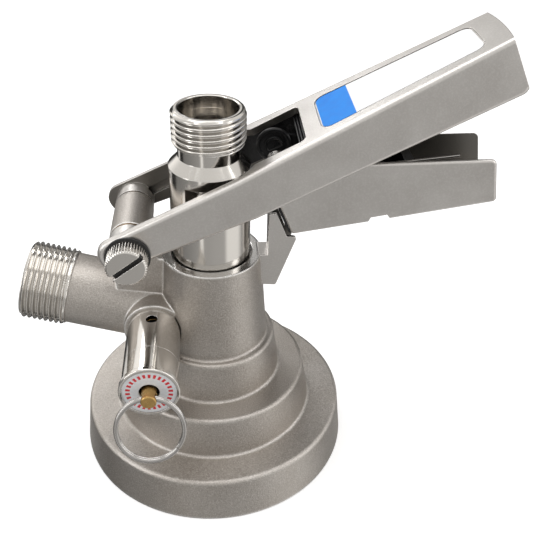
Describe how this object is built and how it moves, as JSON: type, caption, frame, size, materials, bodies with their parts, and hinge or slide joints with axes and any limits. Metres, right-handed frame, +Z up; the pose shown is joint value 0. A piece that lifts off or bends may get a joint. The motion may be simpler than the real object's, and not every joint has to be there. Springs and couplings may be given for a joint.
{
  "type": "keg coupler",
  "caption": "Slide-on keg coupler with a lever handle that lowers a beer probe, a squeeze trigger, a gas inlet pipe and a pull-ring relief valve.",
  "frame": {"origin": "on the probe's axis, in the plane of the base's underside", "axes": "+Z up along the probe, +X towards the handle's grip, +Y the open side the keg neck enters by, so the relief valve points to -Y and the gas inlet to -X. The handle stands raised, with the keg valve shut."},
  "size_m": [0.1563, 0.099, 0.1521],
  "materials": {
    "cast_steel": "bead-blasted cast stainless steel, fine grain",
    "plate_steel": "satin brushed cast and pressed stainless steel",
    "turned_steel": "polished turned stainless steel",
    "spring_steel": "bright drawn wire",
    "bronze": "plain bearing bronze",
    "brass": "turned brass",
    "dark_washer": "dark washer",
    "rubber": "moulded food-grade rubber",
    "black_plastic": "moulded black plastic",
    "label_film": "printed film, white with a pale blue block",
    "face_disc": "plain pale disc"
  },
  "bodies": {
    "body": {"body_casting": "cast_steel", "base_wall": "cast_steel", "base_lips": "cast_steel", "body_seal": "rubber", "gas_check_valve": "rubber", "valve_retainer": "black_plastic", "catch_bracket": "plate_steel", "catch_screws": "turned_steel", "knuckle_bush_near": "bronze", "knuckle_bush_far": "bronze", "relief_body": "turned_steel", "relief_cap": "turned_steel", "relief_face": "face_disc", "relief_spring": "spring_steel"},
    "handle": {"handle": "plate_steel", "handle_label": "label_film", "pivot_screw": "turned_steel", "head_washer": "dark_washer", "trigger_pin": "turned_steel", "trigger_spacer_near": "black_plastic", "trigger_spacer_far": "black_plastic"},
    "trigger": {"trigger": "plate_steel", "trigger_core": "black_plastic", "trigger_spring": "spring_steel"},
    "probe": {"probe": "turned_steel", "trunnions": "turned_steel", "probe_stem": "turned_steel", "probe_seal": "rubber", "probe_oring_lower": "rubber", "probe_oring_upper": "rubber", "ball_retainer": "turned_steel"},
    "ball": {"check_ball": "turned_steel"},
    "relief_stem": {"relief_stem": "brass", "relief_seal": "rubber"},
    "relief_ring": {"relief_ring": "spring_steel"}
  },
  "joints": [
    {"name": "handle_hinge", "type": "hinge", "parent": "body", "child": "handle", "pos_m": [-0.02518, 0, 0.0878], "axis": [0, 1, 0], "range_deg": [0, 23.8]},
    {"name": "probe_slide", "type": "slide", "parent": "body", "child": "probe", "axis": [0, 0, -1], "range_m": [0, 0.01146]},
    {"name": "trigger_squeeze", "type": "hinge", "parent": "handle", "child": "trigger", "pos_m": [0.02036, 0, 0.11164], "axis": [0, -1, 0], "range_deg": [0, 14], "stiffness_Nm_per_rad": 0.15, "springref_deg": -34.38},
    {"name": "relief_pull", "type": "slide", "parent": "body", "child": "relief_stem", "axis": [0, -1, 0], "range_m": [0, 0.0025], "stiffness_N_per_m": 1500, "springref_m": -0.006, "deforming": ["relief_spring"]},
    {"name": "ring_swing", "type": "hinge", "parent": "relief_stem", "child": "relief_ring", "pos_m": [-0.0197, -0.0447, 0.05384], "axis": [1, 0, 0], "range_deg": [-100, 22]},
    {"name": "ball_lift", "type": "slide", "parent": "probe", "child": "ball", "axis": [0, 0, 1], "range_m": [0, 0.0045]}
  ],
  "couplings": [
    {"joint": "probe_slide", "follows": "handle_hinge", "m_per_rad": 0.02757}
  ]
}
